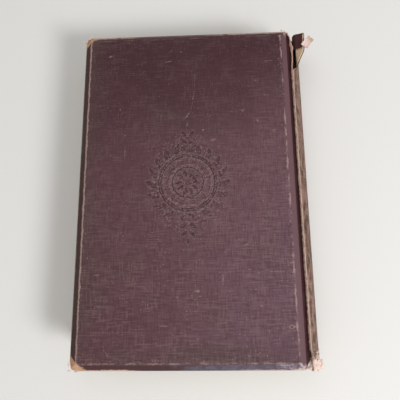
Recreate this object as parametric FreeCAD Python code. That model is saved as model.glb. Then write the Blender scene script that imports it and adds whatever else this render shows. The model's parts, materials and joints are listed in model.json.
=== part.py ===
import FreeCAD, Part
import math
import os

from FreeCAD import Vector

# An old cloth-covered hardback book that lies flat on its front cover. +X runs from the fore-edge to the
# spine, +Y from the tail to the head, +Z up. The origin is the middle of the front cover's underside.

# Driving sizes, in mm.
board_width = 124.0
board_height = 196.6
board_thick = 3.0
bevel_width = 3.5
bevel_depth = 2.2
cloth_thick = 0.45
turn_in_width = 15.0
page_height = 190.2
page_stack = 20.3
leaf_thick = 0.2
fore_square = 3.2
fore_edge_hollow = 2.6
seat_gap = 0.1
joint_width = 2.5
joint_dip = 0.7
shoulder_clearance = 0.85
shoulder_slope = 1.3
spine_bulge = 6.1
spine_turn_in = 10.0
lining_thick = 0.3
lining_margin = 1.5
hollow_gap = 0.7
inlay_thick = 0.6
inlay_margin = 2.6
inlay_clearance = 0.05
axis_rise = 2.9
axis_clearance = 0.45

# Wear: the corners of the cloth that are rubbed through, the torn head and the splayed tail of the spine.
worn_corner = 4.2
worn_joint_corner = 2.6
worn_front_corner = 3.0
tear_length = 26.5
tear_growth = 22.0
tear_lean = 21.5
tear_curl = 1.22
splay_length = 16.0
splay_lean = 2.5
tail_fray = 0.6
row_step = 4.5
tab_length = 6.8
tab_width = 4.6
tab_turn = 52.0
tab_rise = 2.0
tab_place = 0.96
tab_drop = 10.6

# The blind-stamped ornament in the middle of the back cover: a rosette, a ring of beads and a wreath.
stamp_depth = 0.25
stamp_line = 0.55
stamp_x = 1.2
stamp_y = 2.8
hub_radius = 1.6
wheel_radius = 8.9
petal_count = 10
petal_length = 4.8
petal_width = 2.0
bead_ring_radius = 12.1
bead_radius = 1.1
bead_count = 12
frame_radius = 15.4
frame_gap = 1.3
leaf_gap = 1.1
leaf_count = 8
leaf_span = 66.0
leaf_length = 7.6
leaf_width = 2.7
leaf_lean = 42.0
bud_length = 3.8
bud_width = 1.6
bud_lean = -36.0
sprig_leaf_length = 6.4
sprig_leaf_width = 2.4
sprig_spread = 46.0
sprig_pairs = 3
sprig_step = 4.9
sprig_taper = 0.14

# Planes and lines that follow from the sizes.
cover_thick = cloth_thick + board_thick + cloth_thick + leaf_thick
block_bottom = cover_thick + seat_gap
pages_bottom = block_bottom + leaf_thick
pages_top = pages_bottom + page_stack
block_top = pages_top + leaf_thick
book_thick = block_top + seat_gap + cover_thick
mid_height = book_thick / 2
half_width = board_width / 2
half_height = board_height / 2
cover_edge = half_width + cloth_thick
cover_end = half_height + cloth_thick
spine_foot_x = cover_edge + joint_width
spine_half_chord = mid_height - bevel_depth - cloth_thick
spine_radius = (spine_half_chord**2 + spine_bulge**2) / (2 * spine_bulge)
spine_centre_x = spine_foot_x + spine_bulge - spine_radius
spine_half_angle = math.degrees(math.asin(spine_half_chord / spine_radius))
lining_radius = spine_radius - cloth_thick - inlay_thick - hollow_gap
block_radius = lining_radius - lining_thick
shoulder_x = cover_edge + shoulder_clearance
shoulder_angle = math.degrees(math.acos((shoulder_x - spine_centre_x) / block_radius))
fore_edge_x = -(half_width - fore_square)
leaf_edge_x = half_width - fore_square
frame_outer = frame_radius + frame_gap + stamp_line / 2 + leaf_gap


def box(x0, x1, y0, y1, z0, z1):
    """A solid between two corners."""
    return Part.makeBox(x1 - x0, y1 - y0, z1 - z0, Vector(x0, y0, z0))


def flipped(shape):
    """The same shape turned over from the back cover to the front cover."""
    return shape.mirror(Vector(0, 0, mid_height), Vector(0, 0, 1))


def loft_frame(half_x, half_y, z):
    """A closed rectangle at one height."""
    corners = [(-half_x, -half_y), (half_x, -half_y), (half_x, half_y), (-half_x, half_y)]
    points = [Vector(x, y, z) for x, y in corners]
    return Part.makePolygon(points + points[:1])


def bevelled_slab(grow, z_low, z_high, z_bevel):
    """A slab whose upper edges are bevelled on all four sides."""
    half_x = half_width + grow
    half_y = half_height + grow
    lower = Part.makeLoft([loft_frame(half_x, half_y, z_low), loft_frame(half_x, half_y, z_bevel)], True, True)
    inner_x = half_x - bevel_width
    inner_y = half_y - bevel_width
    upper = Part.makeLoft([loft_frame(half_x, half_y, z_bevel), loft_frame(inner_x, inner_y, z_high)], True, True)
    return lower.fuse(upper).removeSplitter()


def board():
    """The pasteboard of the back cover."""
    low = block_top + seat_gap + leaf_thick + cloth_thick
    high = low + board_thick
    return bevelled_slab(0, low, high, high - bevel_depth)


def corner_wedge(sign_x, sign_y, reach):
    """A slanting cut that rubs one corner of the cloth away."""
    x = sign_x * cover_edge
    y = sign_y * cover_end
    out_x = sign_x * cloth_thick
    out_y = sign_y * cloth_thick
    points = [
        Vector(x + out_x, y + out_y, mid_height),
        Vector(x - sign_x * reach - out_x, y + out_y, mid_height),
        Vector(x + out_x, y - sign_y * reach - out_y, mid_height),
    ]
    return Part.Face(Part.makePolygon(points + points[:1])).extrude(Vector(0, 0, mid_height))


def cover_cloth(worn):
    """The cloth round the back board, with its turn-ins on the inside."""
    low = block_top + seat_gap + leaf_thick
    high = book_thick
    shell = bevelled_slab(cloth_thick, low, high, high - bevel_depth)
    inner_x = half_width - turn_in_width
    inner_y = half_height - turn_in_width
    window = box(-inner_x, inner_x, -inner_y, inner_y, low, low + cloth_thick)
    shell = shell.cut(board()).cut(window)
    for sign_x, sign_y, reach in worn:
        shell = shell.cut(corner_wedge(sign_x, sign_y, reach))
    return shell


def pastedown():
    """The half of the endpaper that is pasted on the back board, over the turn-ins."""
    low = block_top + seat_gap
    half_y = page_height / 2
    sheet = box(fore_edge_x, half_width, -half_y, half_y, low, low + leaf_thick)
    inner_x = half_width - turn_in_width
    inner_y = half_height - turn_in_width
    middle = box(-inner_x, inner_x, -inner_y, inner_y, low, low + leaf_thick + cloth_thick)
    return sheet.fuse(middle).removeSplitter()


def free_endpaper():
    """The other half of the endpaper, which lies on the pages."""
    half_y = page_height / 2
    return box(fore_edge_x, leaf_edge_x, -half_y, half_y, pages_top, block_top)


def block_outline():
    """The section of the pages: a hollow fore-edge, two shoulders and a rounded back."""
    rise = block_radius * math.sin(math.radians(shoulder_angle))
    slope_x = shoulder_x - shoulder_slope
    a = Vector(fore_edge_x, 0, pages_bottom)
    b = Vector(slope_x, 0, pages_bottom)
    c = Vector(shoulder_x, 0, mid_height - rise)
    d = Vector(spine_centre_x + block_radius, 0, mid_height)
    e = Vector(shoulder_x, 0, mid_height + rise)
    f = Vector(slope_x, 0, pages_top)
    g = Vector(fore_edge_x, 0, pages_top)
    h = Vector(fore_edge_x + fore_edge_hollow, 0, mid_height)
    edges = [
        Part.LineSegment(a, b).toShape(),
        Part.LineSegment(b, c).toShape(),
        Part.Arc(c, d, e).toShape(),
        Part.LineSegment(e, f).toShape(),
        Part.LineSegment(f, g).toShape(),
        Part.Arc(g, h, a).toShape(),
    ]
    return Part.Wire(edges)


def text_block():
    """All the pages, one solid."""
    face = Part.Face(block_outline())
    face.translate(Vector(0, -page_height / 2, 0))
    return face.extrude(Vector(0, page_height, 0))


def strip_section(centre_x, centre_z, radius, thick, start, sweep, y):
    """A closed section of a curved strip: two arcs that are joined by two short lines."""
    def point(r, degrees):
        angle = math.radians(degrees)
        return Vector(centre_x + r * math.cos(angle), y, centre_z + r * math.sin(angle))
    outer = radius
    inner = radius - thick
    middle = start + sweep / 2
    end = start + sweep
    edges = [
        Part.Arc(point(outer, start), point(outer, middle), point(outer, end)).toShape(),
        Part.LineSegment(point(outer, end), point(inner, end)).toShape(),
        Part.Arc(point(inner, end), point(inner, middle), point(inner, start)).toShape(),
        Part.LineSegment(point(inner, start), point(outer, start)).toShape(),
    ]
    return Part.Wire(edges)


def spine_section(depth, thick, trim, y, lean, curl):
    """A section of the spine strip at one height of the book, leaning out from its lower joint."""
    radius = spine_radius * curl
    sweep = 2 * spine_half_angle / curl
    trim_angle = math.degrees(trim / radius)
    foot = math.radians(-sweep / 2)
    centre_x = spine_foot_x - radius * math.cos(foot)
    centre_z = mid_height - spine_half_chord - radius * math.sin(foot)
    section = strip_section(
        centre_x, centre_z, radius - depth, thick, trim_angle - sweep / 2, sweep - 2 * trim_angle, y
    )
    pivot = Vector(spine_foot_x, y, mid_height - spine_half_chord)
    section.rotate(pivot, Vector(0, 1, 0), lean)
    return section


def spine_heights():
    """Where the strip has sections: close together in the splayed tail and the torn head."""
    low = -half_height - tail_fray
    splay_start = -half_height + splay_length
    tear_start = half_height - tear_length
    stops = sorted([low, low + spine_turn_in, splay_start, tear_start, half_height - spine_turn_in, half_height])
    heights = [low]
    for start, end in zip(stops, stops[1:]):
        straight = start >= splay_start and end <= tear_start
        steps = 1 if straight else math.ceil((end - start) / row_step)
        heights += [start + (end - start) * i / steps for i in range(1, steps + 1)]
    return heights


def spine_rows(y_low, y_high):
    """How the strip leans and curls from one height to another: splayed tail, straight, torn head."""
    rows = []
    for y in [y_low] + [y for y in spine_heights() if y_low < y < y_high] + [y_high]:
        splay = max(0, (splay_length - half_height - y) / splay_length)
        tear = min(1, max(0, (y + tear_length - half_height) / tear_growth))
        tear = tear * tear * (3 - 2 * tear)
        rows.append((y, splay * splay * splay_lean + tear * tear_lean, 1 + tear * tear * (tear_curl - 1)))
    return rows


def spine_strip(depth, thick, trim, y_low, y_high):
    """A strip of the spine between two heights, at a depth under the outside of the cloth."""
    sections = [spine_section(depth, thick, trim, *row) for row in spine_rows(y_low, y_high)]
    return Part.makeLoft(sections, True, True)


def joint_lip():
    """The cloth that dips into the joint beside the spine, at the back cover."""
    ridge_angle = math.radians(spine_half_angle) - cloth_thick / spine_radius
    ridge_x = spine_centre_x + spine_radius * math.cos(ridge_angle)
    ridge_z = mid_height + spine_radius * math.sin(ridge_angle)
    near = Vector(cover_edge + axis_clearance, 0, ridge_z - joint_dip / 2)
    far = Vector(ridge_x, 0, ridge_z)
    low = Vector((near.x + far.x) / 2, 0, ridge_z - joint_dip)
    down = Vector(0, 0, -cloth_thick)
    edges = [
        Part.Arc(near, low, far).toShape(),
        Part.LineSegment(far, far + down).toShape(),
        Part.Arc(far + down, low + down, near + down).toShape(),
        Part.LineSegment(near + down, near).toShape(),
    ]
    face = Part.Face(Part.Wire(edges))
    face.translate(Vector(0, -half_height, 0))
    return face.extrude(Vector(0, 2 * half_height, 0))


def head_tab():
    """The torn end of the head turn-in, which sticks out beside the spine."""
    y = half_height - tab_drop
    outer = spine_section(0, cloth_thick, 0, *spine_rows(-half_height, y)[-1]).Edges[0]
    first, last = outer.ParameterRange
    root = outer.valueAt(first + (last - first) * tab_place)
    tab = box(-cloth_thick, tab_length, -tab_width / 2, tab_width / 2, -cloth_thick / 2, cloth_thick / 2)
    tab.rotate(Vector(0, 0, 0), Vector(0, -1, 0), tab_rise)
    tab.rotate(Vector(0, 0, 0), Vector(0, 0, 1), tab_turn)
    tab.translate(root)
    inside = spine_strip(cloth_thick, tab_width, 0, y - tab_width, half_height)
    return max(tab.cut(inside).Solids, key=lambda piece: piece.Volume)


def turn_in(y_end, y_inside):
    """The end of the spine cloth, folded over the inlay and in along its inner side."""
    deep = cloth_thick + inlay_thick
    low, high = sorted((y_end, y_inside))
    tongue = spine_strip(deep, cloth_thick, inlay_margin, low, high)
    side = 1 if y_end > y_inside else -1
    low, high = sorted((y_end, y_end - side * cloth_thick))
    fold = spine_strip(cloth_thick / 2, deep, inlay_margin + cloth_thick, low, high)
    return [tongue, fold]


def spine_cloth():
    """The cloth over the back of the book, with its turn-ins, both joints and the torn tab."""
    low = -half_height - tail_fray
    high = half_height
    strip = spine_strip(0, cloth_thick, 0, low, high)
    ends = turn_in(high, high - spine_turn_in) + turn_in(low, low + spine_turn_in)
    lip = joint_lip()
    return strip.fuse(ends + [lip, flipped(lip), head_tab()])


def spine_inlay():
    """The stiff paper inside the spine cloth."""
    low = -half_height - tail_fray + cloth_thick
    depth = cloth_thick + inlay_clearance
    return spine_strip(depth, inlay_thick - 2 * inlay_clearance, inlay_margin, low, half_height - cloth_thick)


def spine_lining():
    """The open-weave cloth that is glued to the rounded back of the pages."""
    half_angle = shoulder_angle - math.degrees(lining_margin / block_radius)
    wire = strip_section(
        spine_centre_x, mid_height, lining_radius, lining_thick, -half_angle, 2 * half_angle, -page_height / 2
    )
    return Part.Face(wire).extrude(Vector(0, page_height, 0))


def stamped_disc(x, y, radius):
    """A round pit at a place in the ornament."""
    centre = Vector(stamp_x + x, stamp_y + y, book_thick - stamp_depth)
    return Part.makeCylinder(radius, 2 * stamp_depth, centre)


def stamped_ring(radius):
    """A round groove of one line's width, about the middle of the ornament."""
    return stamped_disc(0, 0, radius + stamp_line / 2).cut(stamped_disc(0, 0, radius - stamp_line / 2))


def stamped_leaf(x, y, turn, length, width):
    """A pointed leaf: two arcs that meet at both ends."""
    root = Vector(0, 0, 0)
    tip = Vector(length, 0, 0)
    side = Vector(length / 2, width / 2, 0)
    other_side = Vector(length / 2, -width / 2, 0)
    outline = Part.Wire([Part.Arc(root, side, tip).toShape(), Part.Arc(tip, other_side, root).toShape()])
    leaf = Part.Face(outline).extrude(Vector(0, 0, 2 * stamp_depth))
    leaf.rotate(root, Vector(0, 0, 1), turn)
    leaf.translate(Vector(stamp_x + x, stamp_y + y, book_thick - stamp_depth))
    return leaf


def on_circle(radius, degrees):
    """The point of a circle at an angle."""
    angle = math.radians(degrees)
    return radius * math.cos(angle), radius * math.sin(angle)


def rosette():
    """Petals inside a ring, round a small hub, with beads in a circle outside it."""
    shapes = [stamped_disc(0, 0, hub_radius), stamped_ring(wheel_radius)]
    petal_start = (hub_radius + wheel_radius - petal_length) / 2
    for i in range(petal_count):
        turn = 360 * i / petal_count
        x, y = on_circle(petal_start, turn)
        shapes.append(stamped_leaf(x, y, turn, petal_length, petal_width))
    for i in range(bead_count):
        x, y = on_circle(bead_ring_radius, 360 * (i + 0.5) / bead_count)
        shapes.append(stamped_disc(x, y, bead_radius))
    return shapes


def wreath_leaves():
    """The leaves and buds on the right of the frame, and the right half of both sprigs."""
    leaves = []
    pitch = 2 * leaf_span / (leaf_count - 1)
    for i in range(leaf_count):
        angle = pitch * i - leaf_span
        x, y = on_circle(frame_outer, angle)
        leaves.append((x, y, angle + leaf_lean, leaf_length, leaf_width))
        x, y = on_circle(frame_outer, angle + pitch / 2)
        leaves.append((x, y, angle + pitch / 2 + bud_lean, bud_length, bud_width))
    for up in (1, -1):
        for i in range(sprig_pairs):
            size = 1 - sprig_taper * i
            y = up * (frame_outer + sprig_step * i)
            turn = up * (90 - sprig_spread)
            leaves.append((stamp_line, y, turn, sprig_leaf_length * size, sprig_leaf_width * size))
    return leaves


def wreath():
    """Two frame rings, the leaves on both sides of them, and a tip leaf at the top and the bottom."""
    shapes = [stamped_ring(frame_radius), stamped_ring(frame_radius + frame_gap)]
    for x, y, turn, length, width in wreath_leaves():
        shapes.append(stamped_leaf(x, y, turn, length, width))
        shapes.append(stamped_leaf(-x, y, 180 - turn, length, width))
    tip = frame_outer + sprig_step * sprig_pairs
    for up in (1, -1):
        shapes.append(stamped_leaf(0, up * (tip - stamp_line), up * 90, sprig_leaf_length / 2, sprig_leaf_width / 2))
    return shapes


def back_cover_cloth():
    """The upper cover's cloth, rubbed through at its corners and stamped in its middle."""
    worn = [(-1, 1, worn_corner), (-1, -1, worn_corner), (1, 1, worn_joint_corner), (1, -1, worn_joint_corner)]
    cloth = cover_cloth(worn)
    return cloth.cut(rosette() + wreath())


def front_cover_cloth():
    """The lower cover's cloth, plain, with rubbed fore-edge corners."""
    return flipped(cover_cloth([(-1, 1, worn_front_corner), (-1, -1, worn_front_corner)]))


nodes = {
    "text_block": text_block(),
    "spine_lining": spine_lining(),
    "spine_inlay": spine_inlay(),
    "spine_cloth": spine_cloth(),
    "back_free_endpaper": free_endpaper(),
    "front_free_endpaper": flipped(free_endpaper()),
    "back_board": board(),
    "back_cover_cloth": back_cover_cloth(),
    "back_pastedown": pastedown(),
    "front_board": flipped(board()),
    "front_cover_cloth": front_cover_cloth(),
    "front_pastedown": flipped(pastedown()),
}

os.makedirs("parts", exist_ok=True)
for name, shape in nodes.items():
    shape.exportStep("parts/" + name + ".step")
    size = shape.BoundBox
    print(name, len(shape.Solids), shape.isValid(), round(shape.Volume), [
        round(v, 2) for v in (size.XMin, size.XMax, size.YMin, size.YMax, size.ZMin, size.ZMax)
    ])
hinge_z = block_top + axis_rise
print("back cover hinge at X", cover_edge + axis_clearance, "Z", hinge_z, "front cover hinge at Z", book_thick - hinge_z)
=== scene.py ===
# %% [markdown]
# # An old cloth-covered hardback book
# The book lies flat with its back cover up. Its boards, pages, joints and spine were built as solids
# first. This script keeps their places and gives every surface its finish: linen cloth rubbed pale along
# the edges, a stamped wreath, a spine that is torn at the head and frayed at the tail, and layered,
# yellowed pages. The solids are loaded first, because every visible piece is placed and sized from them.

# %% Load the solids
import functools
import json
import math
import random

import bmesh
import bpy
from mathutils import Matrix, Vector, noise

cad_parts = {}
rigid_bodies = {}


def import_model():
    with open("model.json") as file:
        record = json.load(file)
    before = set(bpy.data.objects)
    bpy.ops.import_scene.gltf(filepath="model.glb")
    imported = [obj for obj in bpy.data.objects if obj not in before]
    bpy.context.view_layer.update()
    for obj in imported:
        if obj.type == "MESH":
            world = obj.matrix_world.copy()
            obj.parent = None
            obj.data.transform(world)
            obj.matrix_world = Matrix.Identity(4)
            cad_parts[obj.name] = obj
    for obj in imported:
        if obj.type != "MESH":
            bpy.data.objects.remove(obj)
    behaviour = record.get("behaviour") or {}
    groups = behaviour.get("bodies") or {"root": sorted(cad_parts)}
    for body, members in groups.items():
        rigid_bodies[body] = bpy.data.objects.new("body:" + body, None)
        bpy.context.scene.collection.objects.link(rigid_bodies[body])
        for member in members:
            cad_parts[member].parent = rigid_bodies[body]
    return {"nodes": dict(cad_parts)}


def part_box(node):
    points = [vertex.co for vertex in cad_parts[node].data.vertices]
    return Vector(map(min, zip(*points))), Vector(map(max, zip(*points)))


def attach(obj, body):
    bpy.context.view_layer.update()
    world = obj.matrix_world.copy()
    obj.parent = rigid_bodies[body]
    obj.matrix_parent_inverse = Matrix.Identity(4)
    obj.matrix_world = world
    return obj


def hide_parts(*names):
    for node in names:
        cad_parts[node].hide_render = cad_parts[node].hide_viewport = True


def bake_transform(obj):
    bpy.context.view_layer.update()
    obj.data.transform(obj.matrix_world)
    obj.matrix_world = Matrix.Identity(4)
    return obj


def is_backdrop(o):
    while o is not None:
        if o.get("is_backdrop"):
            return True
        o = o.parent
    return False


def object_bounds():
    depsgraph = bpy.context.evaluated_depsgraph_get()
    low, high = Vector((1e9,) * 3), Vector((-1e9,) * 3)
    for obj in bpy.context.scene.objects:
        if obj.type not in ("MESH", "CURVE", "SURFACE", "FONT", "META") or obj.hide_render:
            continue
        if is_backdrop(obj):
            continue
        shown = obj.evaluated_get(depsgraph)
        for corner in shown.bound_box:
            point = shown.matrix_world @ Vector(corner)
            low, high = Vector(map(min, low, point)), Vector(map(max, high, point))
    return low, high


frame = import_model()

mm = 0.001
for item in list(bpy.data.objects):
    if item.name in ("Cube", "Light", "Camera"):
        bpy.data.objects.remove(item)
solid_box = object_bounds()
print("solids", sorted(frame["nodes"]))

# %% [markdown]
# ## Sizes
# A bookbinder measures the board, the cloth and the round of the spine. The outer sizes come from the
# solids, and the few that no box can give, such as the thickness of the cloth, are written here once.

# %% Sizes
cloth_low, cloth_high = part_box("back_cover_cloth")
board_low, board_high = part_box("back_board")
pages_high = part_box("text_block")[1]
leaf_low, leaf_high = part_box("back_free_endpaper")
cover_edge = cloth_high.x
cover_end = cloth_high.y
book_thick = cloth_high.z
mid_height = book_thick / 2
cloth_thick = cover_edge - board_high.x
half_height = board_high.y
bevel_width = 3.5 * mm
bevel_depth = 2.2 * mm
ridge_x = cover_edge - bevel_width
ridge_y = cover_end - bevel_width
bevel_foot = book_thick - bevel_depth
joint_width = 2.5 * mm
joint_dip = 0.7 * mm
spine_foot_x = cover_edge + joint_width
spine_half_chord = mid_height - bevel_depth - cloth_thick
spine_bulge = 6.1 * mm
spine_radius = (spine_half_chord**2 + spine_bulge**2) / (2 * spine_bulge)
spine_half_angle = math.asin(spine_half_chord / spine_radius)
spine_length = 2 * spine_half_angle * spine_radius
spine_centre_x = spine_foot_x + spine_bulge - spine_radius
inlay_thick = 0.6 * mm
print("cover", round(2 * cover_edge / mm, 1), "x", round(2 * cover_end / mm, 1), "mm")
print("spine radius", round(spine_radius / mm, 2), "mm")

# %% [markdown]
# ## The camera
# The picture was taken from above, a little towards the tail of the book, so that the covers' sides run
# slightly apart. A camera is placed by where it stands, the point it looks at and which way is up in the
# picture. A lens as long as the sensor is wide gives the same field as a phone held over a table.

# %% Camera
camera_place = Vector((17.0, -55.6, 250.0)) * mm
camera_target = Vector((8.1, -7.8, 29.1)) * mm
picture_turn = math.radians(0.66)
camera_data = bpy.data.cameras.new("camera")
camera_data.sensor_width = 36
camera_data.lens = 36
camera_data.clip_start = 0.01
camera = bpy.data.objects.new("camera", camera_data)
bpy.context.scene.collection.objects.link(camera)
bpy.context.scene.camera = camera
forward = (camera_target - camera_place).normalized()
upright = Vector((math.sin(picture_turn), math.cos(picture_turn), 0))
right = forward.cross(upright).normalized()
up = right.cross(forward)
turned = Matrix((right, up, -forward)).transposed().to_4x4()
camera.matrix_world = Matrix.Translation(camera_place) @ turned
print("camera looks down at", round(math.degrees(math.asin(-forward.z)), 1), "degrees")

# %% [markdown]
# ## Light and floor
# A worn cloth shows its threads and its stamped lines only when light comes from one side. A large soft
# lamp stands low at the lower right, as in the picture, a weaker one fills from above, and a pale sky
# keeps the shadows open. The lamps together light a level surface so that a colour comes out about as it
# is written.

# %% Floor and lamps
floor_tone = (0.8, 0.79, 0.77, 1)
sky_level = 0.42


def lamp(name, place, size, power):
    """A square lamp that faces the middle of the book."""
    data = bpy.data.lights.new(name, "AREA")
    data.size = size
    data.energy = power
    item = bpy.data.objects.new(name, data)
    bpy.context.scene.collection.objects.link(item)
    item.location = place
    item.rotation_euler = (-Vector(place)).to_track_quat("-Z", "Y").to_euler()


lamp("key_lamp", (0.75, -0.62, 0.72), 0.35, 10.5)
lamp("fill_lamp", (-0.2, 0.3, 1.3), 1.2, 3.6)
world = bpy.data.worlds.new("sky")
world.use_nodes = True
world.node_tree.nodes["Background"].inputs["Color"].default_value = (1, 0.99, 0.97, 1)
world.node_tree.nodes["Background"].inputs["Strength"].default_value = sky_level
bpy.context.scene.world = world
bpy.context.scene.view_settings.view_transform = "Standard"

bpy.ops.object.select_all(action="DESELECT")
bpy.ops.mesh.primitive_plane_add(size=6, location=(0, 0, -0.02 * mm))
floor = bpy.context.object
floor.name = "floor"
floor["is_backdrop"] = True

# %% [markdown]
# ## Sums on shader sockets
# A finish is a sum of small masks: a line of wear here, a stain there. Wiring each sum by hand is slow to
# read, so this class holds one output socket and lets it be added, multiplied and compared as a number
# would be. A second class holds the material itself, with one method that adds any node.

# %% Wire and finish
class Wire:
    """One output socket. A sum that is written on it becomes a Math node."""

    def __init__(self, finish, socket):
        self.finish = finish
        self.socket = socket

    def maths(self, operation, first, second):
        return self.finish.node("ShaderNodeMath", {"operation": operation}, {0: first, 1: second})

    def __add__(self, other):
        return self.maths("ADD", self, other)

    def __sub__(self, other):
        return self.maths("SUBTRACT", self, other)

    def __rsub__(self, other):
        return self.maths("SUBTRACT", other, self)

    def __mul__(self, other):
        return self.maths("MULTIPLY", self, other)

    def __truediv__(self, other):
        return self.maths("DIVIDE", self, other)

    __radd__ = __add__
    __rmul__ = __mul__

    def __abs__(self):
        return self.maths("ABSOLUTE", self, 0.0)

    def wave(self, length):
        """Goes from 0 to 1 and back once in each length."""
        return self.maths("SINE", self * (2 * math.pi / length), 0.0) * 0.5 + 0.5

    def most(self, other):
        return self.maths("MAXIMUM", self, other)

    def least(self, other):
        return self.maths("MINIMUM", self, other)

    def step(self, low, high):
        """0 below low, 1 above high and smooth in between. With low above high it falls instead."""
        values = {"Value": self, "From Min": low, "From Max": high}
        return self.finish.node("ShaderNodeMapRange", {"interpolation_type": "SMOOTHSTEP"}, values)


class Finish:
    """A material that is built up from masks. Its place is in millimetres."""

    def __init__(self, name, roughness, specular=0.3):
        self.material = bpy.data.materials.new(name)
        self.material.use_nodes = True
        self.tree = self.material.node_tree
        self.shader = self.tree.nodes["Principled BSDF"]
        self.shader.inputs["Roughness"].default_value = roughness
        self.shader.inputs["Specular IOR Level"].default_value = specular
        raw = self.node("ShaderNodeTexCoord", out="Object")
        self.place = self.node("ShaderNodeVectorMath", {"operation": "SCALE"}, {0: raw, "Scale": 1 / mm})
        parts = self.node("ShaderNodeSeparateXYZ", values={0: self.place})
        self.x, self.y, self.z = (Wire(self, socket) for socket in parts.socket.node.outputs)

    def node(self, kind, settings=None, values=None, out=0):
        """Adds a node: its settings first, then a value or a wire for each socket that is named."""
        made = self.tree.nodes.new(kind)
        for key, value in (settings or {}).items():
            setattr(made, key, value)
        for key, value in (values or {}).items():
            if isinstance(value, Wire):
                self.tree.links.new(value.socket, made.inputs[key])
            else:
                made.inputs[key].default_value = value
        return Wire(self, made.outputs[out])

    def mix(self, under, over, share, how="MIX"):
        """Lays one colour over another. A colour is three numbers or a wire."""
        under, over = (tone if isinstance(tone, Wire) else (*tone, 1) for tone in (under, over))
        settings = {"data_type": "RGBA", "blend_type": how}
        return self.node("ShaderNodeMix", settings, {0: share, 6: under, 7: over}, out=2)

    def noise(self, size, stretch=(1, 1, 1), detail=2.0, rough=0.5):
        """Cloudy numbers from 0 to 1. Size is about the width of one cloud in mm, stretch makes it longer."""
        scales = tuple(1 / (size * s) for s in stretch)
        spot = self.node("ShaderNodeVectorMath", {"operation": "MULTIPLY"}, {0: self.place, 1: scales})
        values = {"Vector": spot, "Scale": 1.0, "Detail": detail, "Roughness": rough}
        return self.node("ShaderNodeTexNoise", values=values)

    def colour(self, tone):
        self.tree.links.new(tone.socket, self.shader.inputs["Base Color"])

    def rough(self, amount):
        self.tree.links.new(amount.socket, self.shader.inputs["Roughness"])

    def bump(self, height, depth):
        """Raises the surface by up to depth, in mm, where height is 1."""
        values = {"Distance": depth * mm, "Strength": 1.0, "Height": height}
        lift = self.node("ShaderNodeBump", values=values, out="Normal")
        self.tree.links.new(lift.socket, self.shader.inputs["Normal"])


def paint(piece, finish):
    """Gives a piece one finish all over."""
    piece.data.materials.clear()
    piece.data.materials.append(finish.material)


floor_finish = Finish("floor_paint", roughness=0.9, specular=0.1)
floor_finish.colour(floor_finish.mix(floor_tone[:3], floor_tone[:3], floor_finish.noise(400)))
paint(floor, floor_finish)
print("the floor has its paint")

# %% [markdown]
# ## Book cloth
# Book cloth is a plain weave of dyed cotton, filled with starch and pressed. On this old binding the
# crossing threads show as fine dashes, most of all where the cover was handled, and the dye has brown
# stains and small pale specks where it is rubbed off. Each of these is one mask over a dark red ground.
# Image textures aren't needed: noise that is stretched nine times as long as wide gives threads anywhere
# on the cloth.

# %% Book cloth
cloth_head = (0.06, 0.022, 0.029)
cloth_left = (0.098, 0.043, 0.052)
cloth_right = (0.138, 0.069, 0.083)
cloth_purple = (0.118, 0.062, 0.088)
cloth_brown = (0.083, 0.05, 0.045)
cloth_shadow = (0.035, 0.012, 0.015)
cloth_rubbed = (0.36, 0.25, 0.235)
thread_width = 0.75
thread_run = 9
rib_pitch = 1.5


def woven(finish):
    """The threads of the cloth, as (height of the weave, share of pale thread, share of dark thread)."""
    warp = finish.noise(thread_width, (1, thread_run, 1), detail=1)
    weft = finish.noise(thread_width, (thread_run, 1, thread_run), detail=1)
    handled = finish.noise(13, detail=3).step(0.4, 0.62)
    ribs = finish.y.wave(rib_pitch) * finish.noise(7, detail=2).step(0.48, 0.62) * weft.step(0.4, 0.6)
    pale = (warp.step(0.54, 0.68) + weft.step(0.54, 0.68)) * (handled * 0.75 + 0.25) + ribs * 0.8
    dark = warp.step(0.46, 0.32) + weft.step(0.46, 0.32)
    return (warp + weft) * 0.5, pale.least(1), dark.least(1)


def cloth_ground(finish, tone):
    """Dyed cloth with its threads, stains and specks. Returns (colour, height of the weave)."""
    height, pale, dark = woven(finish)
    tone = finish.mix(tone, cloth_brown, finish.noise(26, detail=4).step(0.5, 0.72) * 0.3)
    tone = finish.mix(tone, cloth_shadow, finish.noise(3.2, detail=4, rough=0.65).step(0.52, 0.7) * 0.25)
    handled = (finish.x * 0.4 - finish.y).step(-70, 70)
    tone = finish.mix(tone, cloth_shadow, dark * (handled * 0.08 + 0.19))
    tone = finish.mix(tone, cloth_rubbed, pale * (handled * 0.07 + 0.065))
    specks = finish.noise(0.85, detail=3).step(0.62, 0.76) * finish.noise(9, detail=2).step(0.36, 0.6)
    tone = finish.mix(tone, cloth_rubbed, specks * (handled * 0.3 + 0.5))
    return tone, height


def rubbed_line(finish, distance, width, breaks):
    """Wear along a line: distance is how far away it is in mm, and breaks is how much of it is missing."""
    ragged = finish.noise(0.9, detail=4, rough=0.7)
    wander = (finish.noise(3, detail=3) - 0.5) * 1.3
    gaps = finish.noise(5.5, detail=4, rough=0.6).step(breaks - 0.1, breaks + 0.1)
    return (abs(distance + wander) / width + (ragged - 0.5) * 2.6).step(1.1, 0.3) * gaps


print("thread", thread_width, "mm wide,", thread_run * thread_width, "mm long")

# %% [markdown]
# ## Handling a piece
# Every new piece starts as a primitive that is alone in the selection, is shaped in edit mode, and ends
# with its place in its mesh. These helpers hold the few steps that each piece repeats: start, select by
# place, finish. A sheet that follows a curved rule, such as the cloth round the spine, is laid flat first
# and then bent by that rule.

# %% Start, select, finish
def begin(name, add, stretch=(1, 1, 1), **settings):
    """Adds a primitive with nothing else selected, stretches it and opens it for shaping."""
    bpy.ops.object.select_all(action="DESELECT")
    add(**settings)
    piece = bpy.context.object
    piece.name = name
    piece.data.name = name
    piece.scale = stretch
    bpy.ops.object.transform_apply(location=True, rotation=True, scale=True)
    bpy.ops.object.mode_set(mode="EDIT")
    return piece


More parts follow.
